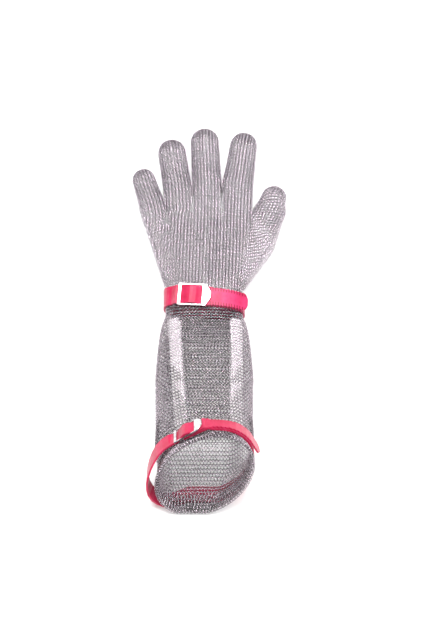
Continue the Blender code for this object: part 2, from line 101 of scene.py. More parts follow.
def oval(angles: Array, half_width: float, top: float, underside: float, power: float,
         flatten: float = UNDERSIDE_CUT) -> Array:
    """A closed section with a flattened underside.

    Args:
        angles: where each point lies, from the thumb side over the top.
        half_width: half of the section's breadth.
        top: height of its highest point.
        underside: height of its flat underside.
        power: two for an ellipse, more for a squarer form.
        flatten: share of the height that the flat underside cuts off.

    Returns:
        The points as (across, height).
    """
    sunk = underside - flatten * (top - underside)
    half_height = (top - sunk) / 2
    x = half_width * signed_power(np.cos(angles), 2 / power)
    z = sunk + half_height * (1 + signed_power(np.sin(angles), 2 / power))
    return np.stack([x, np.maximum(z, underside)], axis=-1)


def spline_weights(part: Array) -> list[Array]:
    """The weights of a cubic that runs through its points.

    Args:
        part: how far each place lies from its second point to its third.

    Returns:
        The weights of the four points around each place.
    """
    squared, cubed = part * part, part * part * part
    return [
        (2 * squared - cubed - part) / 2,
        (3 * cubed - 5 * squared + 2) / 2,
        (4 * squared - 3 * cubed + part) / 2,
        (cubed - squared) / 2,
    ]


def distances(places: Array) -> Array:
    """The distance along lines of places, from each line's first place.

    Args:
        places: lines as [line, place, xyz].

    Returns:
        The distances as [line, place].
    """
    steps = np.linalg.norm(np.diff(places, axis=1), axis=-1)
    return np.concatenate([np.zeros((len(places), 1)), np.cumsum(steps, axis=1)], axis=1)


def directions(line: Array, length: Array, wanted: Array) -> Array:
    """Which way a line of places runs at wanted distances along it."""
    course = np.gradient(line, axis=0)
    return np.stack([np.interp(wanted, length, course[:, axis]) for axis in range(3)], axis=-1)


class Skin:
    """A smooth tube through a grid of places, with its rows along it and its columns around it."""

    def __init__(self, rows: Array) -> None:
        """Keeps the grid and finds which side of it is the outer one.

        Args:
            rows: places as [row, column, xyz], each row one closed section.
        """
        self.rows = rows
        self.last = len(rows) - 1
        self.columns = rows.shape[1]
        self.sign = 1.0
        middle = self.last / 2
        quarter = np.array([self.columns / 4])
        outward = self.normal(np.array([middle]), quarter)[0]
        centre = rows[int(middle)].mean(axis=0)
        if np.dot(outward, self.at(np.array([middle]), quarter)[0] - centre) < 0:
            self.sign = -1.0

    def at(self, along: Array, around: Array) -> Array:
        """Places on the surface.

        Args:
            along: fractional row numbers.
            around: fractional column numbers, of the same shape.

        Returns:
            The places, with xyz as the last axis.
        """
        along, around = np.broadcast_arrays(along, around)
        row = np.clip(np.floor(along).astype(int), 0, self.last - 1)
        column = np.floor(around).astype(int)
        row_weights = spline_weights(along - row)
        column_weights = spline_weights(around - column)
        total = np.zeros(along.shape + (3,))
        for one, row_weight in enumerate(row_weights):
            line = np.clip(row + one - 1, 0, self.last)
            for two, column_weight in enumerate(column_weights):
                place = self.rows[line, (column + two - 1) % self.columns]
                total += (row_weight * column_weight)[..., None] * place
        return total

    def normal(self, along: Array, around: Array) -> Array:
        """The outward unit vectors at places on the surface.

        Args:
            along: fractional row numbers.
            around: fractional column numbers, of the same shape.

        Returns:
            The vectors, with xyz as the last axis.
        """
        before = np.clip(along - NORMAL_STEP, 0, self.last)
        after = np.clip(along + NORMAL_STEP, 0, self.last)
        lengthwise = self.at(after, around) - self.at(before, around)
        across = self.at(along, around + NORMAL_STEP) - self.at(along, around - NORMAL_STEP)
        return unit(np.cross(lengthwise, across)) * self.sign


@dataclass
class Lattice:
    """Where rings sit on a skin: their places, outward vectors, row directions, odd or even rows, the
    distance between rows, how far their painted bright side is turned inward, how much pale light is painted
    on them and their rows' numbers."""

    places: Array
    outward: Array
    course: Array
    parity: Array
    spacing: Array
    turned: Array
    lit: Array
    row: Array


def pick(lattice: Lattice, chosen: Array) -> Lattice:
    """The chosen rings of a lattice."""
    return Lattice(*(getattr(lattice, item.name)[chosen] for item in fields(lattice)))


@dataclass(frozen=True)
class RingSize:
    """One size of ring and how it is woven. Focus shortens the painted highlight at a ring's high side."""

    radius: float
    lean: float
    focus: float
    wire: float = 0.00027
    pitch: float = 0.00345
    spacing: float = 0.00175
    depth: float = 0.00100
    segments: int = 8
    sides: int = 3
    uneven_lean: float = 4.0
    uneven_turn: float = 9.0
    uneven_place: float = 0.00005
    least_reach: float = 0.7
    most_reach: float = 1.15


@dataclass
class Weaver:
    """Lays rows of rings over a skin, counted both ways from the column number of its top line."""

    skin: Skin
    ring: RingSize
    top: float
    along_samples: int = 200
    around_samples: int = 160
    line_samples: int = 400
    loop_samples: int = 220
    most_rows: int = 400
    fewest_samples: int = 4
    end_room: float = 0.25

    def lengthwise(self, start: float, end: float, from_end: bool = False) -> Lattice:
        """Rows that run along the piece, a steady distance apart on each side of its top line.

        Args:
            start: distance kept free at the first section.
            end: distance kept free at the last section.
            from_end: whether the rings are counted back from the last section.

        Returns:
            The rings' lattice.
        """
        ring, skin = self.ring, self.skin
        along = np.linspace(0.0, skin.last, self.along_samples)
        around = np.linspace(0.0, skin.columns / 2, self.around_samples)
        found = []
        for side in (1.0, -1.0):
            columns = self.top + side * around
            arc = distances(skin.at(along[:, None], columns[None, :]))
            previous = None
            for number in range(0 if side > 0 else 1, self.most_rows):
                distance = number * ring.spacing
                inside = np.flatnonzero(arc[:, -1] >= distance + ring.spacing * self.end_room)
                if len(inside) < self.fewest_samples:
                    break
                first, last = inside[0], inside[-1] + 1
                column = np.array([np.interp(distance, arc[row], columns * side) * side
                                   for row in range(first, last)])
                line = skin.at(along[first:last], column)
                length = distances(line[None])[0]
                if previous is not None:
                    length += np.interp(first, *previous)
                previous = (np.arange(first, last), length)
                if from_end:
                    length = length - length[-1]
                phase = 0.5 * (number % 2)
                lowest, highest = length[0] + (start if first == 0 else 0.0), length[-1] - end
                rings = np.arange(math.ceil(lowest / ring.pitch - phase),
                                  math.floor(highest / ring.pitch - phase) + 1)
                if not len(rings):
                    continue
                wanted = (rings + phase) * ring.pitch
                here = np.interp(wanted, length, along[first:last])
                over = np.interp(here, along[first:last], column)
                found.append((here, over, directions(line, length, wanted), np.full(len(here), number)))
        return self.gather(found, np.full(sum(len(part[0]) for part in found), ring.spacing))

    def around(self, start: float, end: float, steps: int) -> Lattice:
        """Rows that run around the piece, a steady pitch on each side of its top line.

        Args:
            start: distance of the first row from the first section, along the top line.
            end: distance of the last row from the last section, along the top line.
            steps: how many spaces between rows there are.

        Returns:
            The rings' lattice.
        """
        ring, skin = self.ring, self.skin
        dense = np.linspace(0.0, skin.last, self.line_samples)
        top_line = distances(skin.at(dense, np.full(self.line_samples, self.top))[None])[0]
        shares = np.interp(np.linspace(start, top_line[-1] - end, steps + 1), top_line, dense)
        half = np.linspace(0.0, skin.columns / 2, self.loop_samples)
        found, spacing = [], []
        for number, share in enumerate(shares):
            phase = 0.5 * (number % 2)
            before, after = max(0, number - 1), min(steps, number + 1)
            for side in (1.0, -1.0):
                columns = self.top + side * half
                line = skin.at(np.full(self.loop_samples, share), columns)
                length = distances(line[None])[0]
                rings = np.arange(0 if side > 0 or phase else 1, int(length[-1] / ring.pitch - phase) + 1)
                wanted = (rings + phase) * ring.pitch
                over = np.interp(wanted, length, columns * side) * side
                here = np.full(len(over), share)
                course = directions(line, length, wanted) * side
                found.append((here, over, course, np.full(len(here), number)))
                fore, aft = (skin.at(np.full(len(over), shares[near]), over) for near in (after, before))
                spacing.append(np.linalg.norm(fore - aft, axis=-1) / (after - before))
        return self.gather(found, np.concatenate(spacing))

    def gather(self, found: list[tuple[Array, ...]], spacing: Array) -> Lattice:
        """Joins rows of rings into one lattice.

        Args:
            found: each row's places along and around the skin, its directions and its number.
            spacing: each ring's distance from the next row.

        Returns:
            The lattice, with no bright side turned inward and no painted light.
        """
        along, over, course, row = (np.concatenate([part[item] for part in found]) for item in range(4))
        places, outward = self.skin.at(along, over), self.skin.normal(along, over)
        course = unit(course - outward * np.sum(course * outward, axis=-1, keepdims=True))
        none = np.zeros(len(places))
        return Lattice(places, outward, course, row % 2, spacing, none, none.copy(), row)


def ring_mesh(name: str, lattice: Lattice, ring: RingSize, seed: int) -> Object:
    """One object of many woven rings, with a number at each point for its painted shade and highlight.

    Args:
        name: the piece's name.
        lattice: where the rings sit.
        ring: their size and lean.
        seed: start of the small random unevenness.

    Returns:
        The linked object.
    """
    random = np.random.default_rng(seed)
    count = len(lattice.places)
    sign = np.where(lattice.parity == 0, 1.0, -1.0)[:, None]
    lean = np.radians(ring.lean + random.normal(0.0, ring.uneven_lean, (count, 1))) * sign
    twist = np.radians(random.normal(0.0, ring.uneven_turn, (count, 1)))
    outward, side = lattice.outward, lattice.course
    course = np.cross(side, outward)
    course, side = (course * np.cos(twist) + side * np.sin(twist),
                    side * np.cos(twist) - course * np.sin(twist))
    ahead = course * np.cos(lean) - outward * np.sin(lean)
    up = outward * np.cos(lean) + course * np.sin(lean)
    centre = lattice.places - outward * (ring.depth + random.normal(0.0, ring.uneven_place, (count, 1)))
    centre = centre + lattice.course * random.normal(0.0, ring.uneven_place, (count, 1))

    reach = ring.radius * np.clip(lattice.spacing / ring.spacing, ring.least_reach, ring.most_reach)
    turns = loop_angles(ring.segments)
    tilts = loop_angles(ring.sides) + math.pi / 2
    spread = np.cos(tilts)[None, :] * ring.wire
    rise = np.sin(tilts)[None, :] * ring.wire * np.ones((ring.segments, 1))
    cos, sin = np.cos(turns)[:, None], np.sin(turns)[:, None]
    forward = (reach[:, None, None] + spread[None]) * cos[None]
    sideways = (ring.radius + spread) * sin
    vertices = centre[:, None, None, :] + forward[..., None] * ahead[:, None, None, :]
    vertices = vertices + sideways[None, :, :, None] * side[:, None, None, :]
    vertices = vertices + rise[None, :, :, None] * up[:, None, None, :]

    # Painted shading: each ring is painted bright as a highlight at the front and back of its high side and
    # in shade toward its low side. This is flipped where its bright side is turned inward, and painted light
    # raises it.
    level = np.sum((vertices - centre[:, None, None, :]) * outward[:, None, None, :], axis=-1)
    level = level / (ring.radius * math.sin(math.radians(ring.lean)) + ring.wire)
    level = level * np.abs(cos[None]) ** ring.focus
    outer, inner = (np.clip(2 * share, 0.0, 1.0)[:, None, None]
                    for share in (1 - lattice.turned, lattice.turned))
    painted_shading = 0.5 + 0.5 * np.maximum(level * outer, -level * inner)
    painted_shading = painted_shading + (1 - painted_shading) * lattice.lit[:, None, None]

    segment, turn = np.meshgrid(np.arange(ring.segments), np.arange(ring.sides), indexing="ij")
    segment, turn = segment.ravel(), turn.ravel()
    following, beside = (segment + 1) % ring.segments, (turn + 1) % ring.sides
    quads = np.stack([segment * ring.sides + turn, following * ring.sides + turn,
                      following * ring.sides + beside, segment * ring.sides + beside], axis=-1)
    faces = (quads[None] + (np.arange(count) * len(quads))[:, None, None]).reshape(-1, 4)
    piece = quad_mesh(name, vertices.reshape(-1, 3), faces)
    kept = piece.data.attributes.new("painted_shading", "FLOAT", "POINT")
    kept.data.foreach_set("value", painted_shading.astype(np.float32).ravel())
    return piece


def quad_mesh(name: str, vertices: Array, faces: Array) -> Object:
    """A smooth-shaded object, moved into the shared frame.

    Args:
        name: the piece's name.
        vertices: its points as [point, xyz].
        faces: the four points of each face.

    Returns:
        The linked object.
    """
    vertices = vertices - np.array([0.0, REST_AHEAD, 0.0])
    mesh = bpy.data.meshes.new(name)
    mesh.vertices.add(len(vertices))
    mesh.vertices.foreach_set("co", vertices.astype(np.float32).ravel())
    mesh.loops.add(faces.size)
    mesh.loops.foreach_set("vertex_index", faces.astype(np.int32).ravel())
    mesh.polygons.add(len(faces))
    mesh.polygons.foreach_set("loop_start", np.arange(0, faces.size, 4, dtype=np.int32))
    mesh.polygons.foreach_set("loop_total", np.full(len(faces), 4, dtype=np.int32))
    mesh.polygons.foreach_set("use_smooth", np.ones(len(faces), dtype=bool))
    mesh.update(calc_edges=True)
    mesh.validate()
    piece = bpy.data.objects.new(name, mesh)
    bpy.context.scene.collection.objects.link(piece)
    return piece


def dress(piece: Object, steel: Material, node: str) -> None:
    """Gives a piece of mail its finish and its place in the model.

    Args:
        piece: the woven rings.
        steel: their finish.
        node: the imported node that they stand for.
    """
    piece.data.materials.append(steel)
    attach(piece, "root")
    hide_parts(node)
    LOG.info("%s: %d faces", piece.name, len(piece.data.polygons))


@dataclass(frozen=True)
class Grain:
    """A noise over a surface: its grains per metre, what the finish ranges between, detail and stretch."""

    scale: float
    low: float
    high: float
    detail: float = 2.0
    stretch: Colour = (1.0, 1.0, 1.0)


class Shader:
    """A node material in the making, with a short way to add and join nodes."""

    def __init__(self, name: str, **values: float) -> None:
        """Starts a material with its principled shader.

        Args:
            name: the material's name.
            values: constants for the shader's own sockets, an underscore for each space in their names.
        """
        self.material = bpy.data.materials.new(name)
        self.material.use_nodes = True
        self.tree = self.material.node_tree
        self.surface = self.tree.nodes["Principled BSDF"]
        self.coordinates = self.tree.nodes.new("ShaderNodeTexCoord").outputs["Object"]
        for socket, value in values.items():
            self.surface.inputs[socket.replace("_", " ")].default_value = value

    def node(self, kind: str, inputs: dict[int | str, object], **settings: str) -> bpy.types.Node:
        """Adds a node.

        Args:
            kind: the node's kind.
            inputs: a constant or another node's output for each input that is set.
            settings: the node's own settings.

        Returns:
            The new node.
        """
        node = self.tree.nodes.new(f"ShaderNode{kind}")
        for name, value in settings.items():
            setattr(node, name, value)
        for socket, value in inputs.items():
            if isinstance(value, Socket):
                self.tree.links.new(value, node.inputs[socket])
            else:
                node.inputs[socket].default_value = value
        return node

    def noise(self, grain: Grain) -> Socket:
        """A noise over the object.

        Args:
            grain: the noise's size, detail and stretch.

        Returns:
            The noise's value.
        """
        mapped = self.node("Mapping", {"Vector": self.coordinates, "Scale": grain.stretch}).outputs["Vector"]
        inputs = {"Vector": mapped, "Scale": grain.scale, "Detail": grain.detail}
        return self.node("TexNoise", inputs).outputs["Fac"]

    def attribute(self, name: str) -> Socket:
        """A number kept at each of the mesh's points."""
        return self.node("Attribute", {}, attribute_name=name).outputs["Fac"]

    def math(self, operation: str, first: Socket, second: Socket | float) -> Socket:
        """A number worked out from a value and a number or another value."""
        return self.node("Math", {0: first, 1: second}, operation=operation).outputs[0]

    def axes(self) -> bpy.types.bpy_prop_collection:
        """The three coordinates over the object."""
        return self.node("SeparateXYZ", {0: self.coordinates}).outputs

    def stepped(self, value: Socket, start: float, end: float) -> Socket:
        """Zero before the start and one past the end, with a smooth change between."""
        inputs = {"Value": value, "From Min": start, "From Max": end}
        return self.node("MapRange", inputs, interpolation_type="SMOOTHSTEP").outputs["Result"]

    def multiply(self, first: Socket, second: Socket) -> Socket:
        """One colour multiplied by another."""
        inputs = {0: 1.0, 6: first, 7: second}
        return self.node("Mix", inputs, data_type="RGBA", blend_type="MULTIPLY").outputs[2]

    def ramp(self, value: Socket, stops: Stops) -> Socket:
        """A colour from a value.

        Args:
            value: what chooses the colour.
            stops: the colours and the values at which they stand.

        Returns:
            The colour.
        """
        node = self.node("ValToRGB", {"Fac": value})
        elements = node.color_ramp.elements
        while len(elements) < len(stops):
            elements.new(0.5)
        for element, (position, colour) in zip(elements, stops):
            element.position = position
            element.color = (*colour, 1.0)
        return node.outputs["Color"]

    def tint(self, grain: Grain, dark: Colour, light: Colour) -> Socket:
        """A colour that a noise varies."""
        return self.ramp(self.noise(grain), ((grain.low, dark), (grain.high, light)))

    def gloss(self, grain: Grain) -> Socket:
        """A roughness that a noise varies.

        Args:
            grain: the noise, with the roughness at its low and high values.

        Returns:
            The roughness.
        """
        names = ("Value", "From Min", "From Max", "To Min", "To Max")
        inputs = dict(zip(names, (self.noise(grain), *NOISE_RANGE, grain.low, grain.high)))
        return self.node("MapRange", inputs).outputs["Result"]

    def relief(self, grain: Grain) -> Socket:
        """A normal over a noise's fine bumps, as strong as its high value."""
        inputs = {"Height": self.noise(grain), "Strength": grain.high, "Distance": RELIEF_DEPTH}
        return self.node("Bump", inputs).outputs["Normal"]

    def join(self, **outputs: Socket) -> Material:
        """Feeds outputs into the principled shader's sockets and gives the finished material."""
        for socket, output in outputs.items():
            self.tree.links.new(output, self.surface.inputs[socket.replace("_", " ")])
        return self.material


@dataclass(frozen=True)
class RingSteel:
    """Drawn stainless steel wire, faintly warm, with small changes of tint and gloss from ring to ring.

    The painted shade gives the colours from a ring's shaded low side to its high side, which is left bright
    as a painted highlight.
    """

    name: str = "ring_steel"
    dark: Colour = (0.90, 0.825, 0.885)
    light: Colour = (0.98, 0.905, 0.965)
    tint: Grain = Grain(420.0, 0.35, 0.65)
    gloss: Grain = Grain(900.0, 0.16, 0.34)
    painted_shade: Stops = ((0.25, (0.10, 0.09, 0.10)), (0.60, (0.50, 0.48, 0.50)), (0.88, (1.0, 1.0, 1.0)))

    def material(self) -> Material:
        """The finished material.

        Returns:
            The material.
        """
        shader = Shader(self.name, Metallic=1.0)
        tint = shader.tint(self.tint, self.dark, self.light)
        # The ramp paints shade over each ring's low side and leaves its high side bright as a painted
        # highlight.
        painted_shade = shader.ramp(shader.attribute("painted_shading"), self.painted_shade)
        return shader.join(Base_Color=shader.multiply(tint, painted_shade), Roughness=shader.gloss(self.gloss))


# Painted shade for the cuff's rings, deeper than on the hand's.
CUFF_PAINTED_SHADE: Stops = (
    (0.25, (0.013, 0.010, 0.012)), (0.56, (0.075, 0.069, 0.072)),
    (0.85, (0.46, 0.44, 0.45)), (0.98, (0.86, 0.84, 0.85)),
)
# Painted shade and highlight for the rings seen inside the mouth, in the hem and at the lip, lighter than
# the cuff's.
MOUTH_PAINTED_SHADE: Stops = ((0.30, (0.035, 0.030, 0.033)), (0.56, (0.26, 0.245, 0.253)), (0.84, (1.0, 0.98, 0.99)))


@dataclass(frozen=True)
class StrapPlastic:
    """Soft moulded plastic in a pinkish red, with a painted sheen that makes it paler toward the thumb side,
    and with painted shade in notches along its edges.

    The strap's middle line stands at the height middle and falls by slope toward the thumb. The notches
    start at notches_from and stand pitch apart, further than edge from the middle line.
    """

    name: str
    slope: float
    middle: float
    notches_from: float
    red: Colour = (0.44, 0.016, 0.062)
    pale: Colour = (0.52, 0.034, 0.105)
    tint: Grain = Grain(90.0, 0.35, 0.70, 4.0)
    gloss: Grain = Grain(700.0, 0.34, 0.50)
    relief: Grain = Grain(2500.0, 0.0, 0.25)
    # left and right multiply the red before and past notches_from; the paler right is a painted sheen.
    left: Colour = (0.92, 0.55, 0.75)
    right: Colour = (1.0, 1.0, 1.25)
    side_soft: float = 0.02
    shadow: Colour = (0.40, 0.14, 0.22)
    pitch: float = 0.0028
    notch: Pair = (0.22, 0.14)
    edge: float = 0.0061
    edge_soft: float = 0.0004
    start_soft: float = 0.0005

    def notches(self, shader: Shader) -> Socket:
        """Where painted shade darkens the notches over the strap.

        Args:
            shader: the material in the making.

        Returns:
            One in a notch and zero elsewhere.
        """
        x, y, _ = shader.axes()
        turn = shader.math("PINGPONG", x, self.pitch / 2)
        rise = shader.math("MULTIPLY", x, self.slope)
        off = shader.math("ABSOLUTE", shader.math("ADD", rise, shader.math("SUBTRACT", y, self.middle)), 0.0)
        mark = shader.math("MULTIPLY", shader.stepped(turn, *(self.pitch * share for share in self.notch)),
                           shader.stepped(off, self.edge - self.edge_soft, self.edge + self.edge_soft))
        start = shader.stepped(x, self.notches_from - self.start_soft, self.notches_from)
        return shader.math("MULTIPLY", mark, start)

    def material(self) -> Material:
        """The finished material.

        Returns:
            The material.
        """
        shader = Shader(self.name, Sheen_Weight=0.08, Sheen_Roughness=0.5, Specular_IOR_Level=0.3)
        # Painted sheen: paler past notches_from toward the thumb.
        start, end = self.notches_from - self.side_soft, self.notches_from + self.side_soft
        across = shader.stepped(shader.axes()[0], start, end)
        side = shader.ramp(across, ((0.0, self.left), (1.0, self.right)))
        red = shader.multiply(shader.tint(self.tint, self.red, self.pale), side)
        # Painted shade darkens the notches.
        dark = shader.ramp(self.notches(shader), ((0.0, (1.0, 1.0, 1.0)), (1.0, self.shadow)))
        return shader.join(
            Base_Color=shader.multiply(red, dark),
            Roughness=shader.gloss(self.gloss),
            Normal=shader.relief(self.relief),
        )


@dataclass(frozen=True)
class PlainFinish:
    """A finish whose tint varies, and its gloss and relief where it has them."""

    name: str
    dark: Colour
    light: Colour
    tint: Grain
    gloss: Grain | None = None
    relief: Grain | None = None
    metallic: float = 0.0
    roughness: float = 0.5

    def material(self) -> Material:
        """The finished material.

        Returns:
            The material.
        """
        shader = Shader(self.name, Metallic=self.metallic, Roughness=self.roughness)
        parts = {"Base_Color": shader.tint(self.tint, self.dark, self.light)}
        if self.gloss:
            parts["Roughness"] = shader.gloss(self.gloss)
        if self.relief:
            parts["Normal"] = shader.relief(self.relief)
        return shader.join(**parts)


# White matte plastic with a fine lengthwise grain.
STAY_WHITE = PlainFinish(
    "stay_white", (0.84, 0.815, 0.825), (0.92, 0.90, 0.905), Grain(160.0, 0.35, 0.65, 4.0, (1.0, 0.15, 1.0)),
    gloss=Grain(600.0, 0.45, 0.6), relief=Grain(1800.0, 0.0, 0.2, 2.0, (1.0, 0.2, 1.0)),
)
# Polished steel sheet with fine brushing along the strap and duller worn patches.
BUCKLE_BRIGHT = PlainFinish(
    "buckle_bright", (0.40, 0.378, 0.390), (0.68, 0.655, 0.665), Grain(220.0, 0.35, 0.6, 3.0),
    gloss=Grain(1500.0, 0.14, 0.30, 3.0, (0.1, 1.0, 1.0)), metallic=1.0,
)
# A matte pale floor with a barely uneven tone.
FLOOR_PALE = PlainFinish(
    "floor_pale", (0.955, 0.955, 0.955), (0.97, 0.97, 0.97), Grain(3.0, 0.3, 0.7), roughness=0.9,
)


@dataclass
class Wrist:
    """The wrist's section, where the palm and the cuff meet under the strap."""

    points: int = 44
    half_width: float = 0.0403
    centre_x: float = -0.0008
    height: float = 0.035
    power: float = 2.8
    ahead: float = 0.018
    behind: float = 0.0125
    strap_lift: float = 0.0023

    def section(self, ahead: float, underside: float) -> Array:
        """The section's points at a distance ahead of the wrist strap's middle."""
        flat = oval(loop_angles(self.points), self.half_width, self.height, underside, self.power)
        return np.stack([self.centre_x + flat[:, 0], np.full(self.points, ahead), flat[:, 1]], axis=-1)


@dataclass
class Hand:
    """The palm and the five fingers, woven lengthwise.

    Knuckles and crotches are the ends of the lines between neighbouring fingers, from the thumb's outer
    side to the little finger's: where the palm ends and where the fingers part.
    """

    wrist: Wrist
    steel: Material
    names: tuple[str, ...] = ("thumb", "index", "middle", "ring", "little")
    knuckles: tuple[Pair, ...] = (
        (0.0693, 0.0635), (0.0483, 0.1000), (0.0178, 0.1050),
        (-0.0136, 0.1050), (-0.0410, 0.1050), (-0.0640, 0.0970),
    )
    crotches: tuple[Pair, ...] = (
        (0.0855, 0.1090), (0.0485, 0.1047), (0.0178, 0.1400),
        (-0.0136, 0.1365), (-0.0420, 0.1178), (-0.0668, 0.1060),
    )
    tips: tuple[Pair, ...] = (
        (0.0784, 0.1390), (0.0438, 0.2010), (-0.0002, 0.2060), (-0.0370, 0.1934), (-0.0682, 0.1590),
    )
    leans: tuple[float, ...] = (25.0, 12.0, 0.0, -8.5, -18.0)
    tip_half_widths: tuple[float, ...] = (0.0134, 0.0144, 0.0152, 0.0149, 0.0123)
    shares: tuple[float, ...] = (0.0, 0.09, 0.5, 0.91)
    groove_heights: tuple[float, ...] = (0.95, 0.99, 1.0, 0.99)
    under_strap: tuple[float, ...] = (0.00015, 0.006, 0.012, 0.018)
    root_height: float = 0.025
    tip_height: float = 0.0175
    tip_middle: float = 0.0082
    side_share: float = 0.45
    outer_lift: float = 0.003
    outer_inset: float = 0.025
    root_power: float = 7.0
    body_power: float = 2.3
    dome_power: float = 0.8
    rounding_start: float = 0.2
    rounding_rate: float = 2.0
    finger_points: int = 24
    finger_steps: int = 14
    dome_angles: tuple[float, ...] = (15.0, 30.0, 45.0, 60.0, 75.0, 86.0)
    palm_steps: int = 12
    wrist_free: float = 0.0012
    knuckle_free: float = 0.25
    tip_free: float = 0.0002
    under_from: float = -0.3
    steep: float = 0.45
    web: float = 0.004
    # thumb_light, thumb_from and thumb_over set painted light that brightens the rings toward the thumb.
    thumb_light: float = 0.22
    thumb_from: float = 0.044
    thumb_over: float = 0.020
    ring: RingSize = RingSize(radius=0.00186, lean=26.0, focus=1.6)
    upper_seed: int = 11
    under_seed: int = 12
    finger_seed: int = 20

    def knuckle(self, index: int) -> Array:
        """A point of the palm's far edge on one of the wrist's lines.

        Args:
            index: the line's number, from the thumb side over the top.

        Returns:
            The point.
        """
        top_points = self.wrist.points // 2 - 1
        if index in (0, top_points + 1):
            end = self.knuckles[0] if index == 0 else self.knuckles[-1]
            return np.array([*end, self.root_height * self.side_share])
        under = index > top_points
        column = self.wrist.points - index - 1 if under else index - 1
        finger, place = divmod(column, len(self.shares))
        outer = column in (0, top_points - 1)
        share = self.outer_inset if outer else self.shares[place]
        if finger == len(self.names):
            finger, share = finger - 1, 1 - self.outer_inset
        x, y = blend(np.array(self.knuckles[finger]), np.array(self.knuckles[finger + 1]), share)
        if under:
            return np.array([x, y, self.outer_lift if outer else 0.0])
        return np.array([x, y, self.root_height * self.groove_heights[place]])

    def palm_skin(self) -> Skin:
        """The palm's surface, from under the wrist strap to the roots of the fingers.

        Returns:
            The skin.
        """
        rows = [self.wrist.section(ahead, self.wrist.strap_lift) for ahead in self.under_strap]
        start = self.wrist.section(self.wrist.ahead, 0.0)
        end = np.array([self.knuckle(index) for index in range(self.wrist.points)])
        rows.extend(blend(start, end, step / self.palm_steps) for step in range(1, self.palm_steps + 1))
        return Skin(np.array(rows))

    def finger_skin(self, finger: int) -> Skin:
        """The surface of one closed finger, from its root over the domed tip.

        Args:
            finger: the finger's number, from the thumb.

        Returns:
            The skin.
        """
        lean = math.radians(self.leans[finger])
        direction = np.array([math.sin(lean), math.cos(lean)])
        side = np.array([direction[1], -direction[0]])
        radius = self.tip_half_widths[finger]
        shoulder = np.array(self.tips[finger]) - direction * radius
        lines = []
        for edge, sign in ((finger, 1.0), (finger + 1, -1.0)):
            root, crotch = np.array(self.knuckles[edge]), np.array(self.crotches[edge])
            points = (root, crotch, shoulder + side * radius * sign)
            first, second = np.linalg.norm(crotch - root), np.linalg.norm(points[2] - crotch)
            wanted = np.linspace(0.0, first + second, self.finger_steps + 1)
            stops = (0.0, first, first + second)
            lines.append(np.stack([np.interp(wanted, stops, [point[axis] for point in points])
                                   for axis in (0, 1)], -1))
        rows = []
        angles = loop_angles(self.finger_points)
        for step, (right, left) in enumerate(zip(*lines)):
            share = step / self.finger_steps
            rounding = min(1.0, max(0.0, share - self.rounding_start) * self.rounding_rate)
            power = blend(self.root_power, self.body_power, ease(rounding))
            height = blend(self.root_height, self.tip_height, ease(share))
            rows.append(self.finger_section(angles, (right + left) / 2, (right - left) / 2, height, power))
        for degrees in self.dome_angles:
            turn = math.radians(degrees)
            centre = shoulder + direction * radius * math.sin(turn)
            half = side * radius * math.cos(turn)
            row = self.finger_section(angles, centre, half, self.tip_height, self.body_power)
            row[:, 2] = self.tip_middle + (row[:, 2] - self.tip_middle) * math.cos(turn) ** self.dome_power
            rows.append(row)
        return Skin(np.array(rows))

    def finger_section(self, angles: Array, centre: Array, half: Array, height: float,
                       power: float) -> Array:
        """One section of a finger.

        Args:
            angles: where its points lie.
            centre: its middle, seen from above.
            half: from its middle to its side nearer the thumb, seen from above.
            height: how high it stands.
            power: how square it is.

        Returns:
            The section's points.
        """
        flat = oval(angles, 1.0, height, 0.0, power)
        plan = centre + flat[:, :1] * half
        return np.concatenate([plan, flat[:, 1:]], axis=-1)

    def build(self) -> None:
        """Weaves the palm and the fingers."""
        palm = Weaver(self.palm_skin(), self.ring, self.wrist.points / 4)
        lattice = palm.lengthwise(self.wrist_free, self.ring.pitch * self.knuckle_free, from_end=True)
        # Painted light on the rings toward the thumb.
        lattice.lit = self.pale(lattice)
        upper = lattice.outward[:, 2] > self.under_from
        halves = (("upper", upper, self.upper_seed), ("under", ~upper, self.under_seed))
        for name, chosen, seed in halves:
            piece = ring_mesh(f"palm_rings_{name}", pick(lattice, chosen), self.ring, seed)
            dress(piece, self.steel, "mail_palm")
        for finger, name in enumerate(self.names):
            node = "mail_thumb" if name == "thumb" else f"mail_{name}_finger"
            weaver = Weaver(self.finger_skin(finger), self.ring, self.finger_points / 4)
            lattice = weaver.lengthwise(0.0, self.tip_free)
            # Painted light on the rings toward the thumb.
            lattice.lit = self.pale(lattice)
            lattice = pick(lattice, ~self.shared(finger, lattice))
            piece = ring_mesh(f"{name}_rings", lattice, self.ring, self.finger_seed + finger)
            dress(piece, self.steel, node)

    def pale(self, lattice: Lattice) -> Array:
        """How much painted light brightens the rings toward the thumb."""
        off = np.clip((lattice.places[:, 0] - self.thumb_from) / self.thumb_over, 0.0, 1.0)
        return self.thumb_light * ease(off)

    def shared(self, finger: int, lattice: Lattice) -> Array:
        """Which rings stand where a finger's root and its neighbour's are one piece of mail.

        Args:
            finger: the finger's number, from the thumb.
            lattice: the finger's rings.

        Returns:
            Whether each ring does.
        """
        lean = math.radians(self.leans[finger])
        side = lattice.outward[:, 0] * math.cos(lean) - lattice.outward[:, 1] * math.sin(lean)
        steep = np.abs(lattice.outward[:, 2]) < self.steep
        found = np.zeros(len(side), dtype=bool)
        for edge, sign in ((finger, 1.0), (finger + 1, -1.0)):
            if 0 < edge < len(self.names):
                below = lattice.places[:, 1] < self.crotches[edge][1] - self.web
                found |= steep & (side * sign > 0) & below
        return found


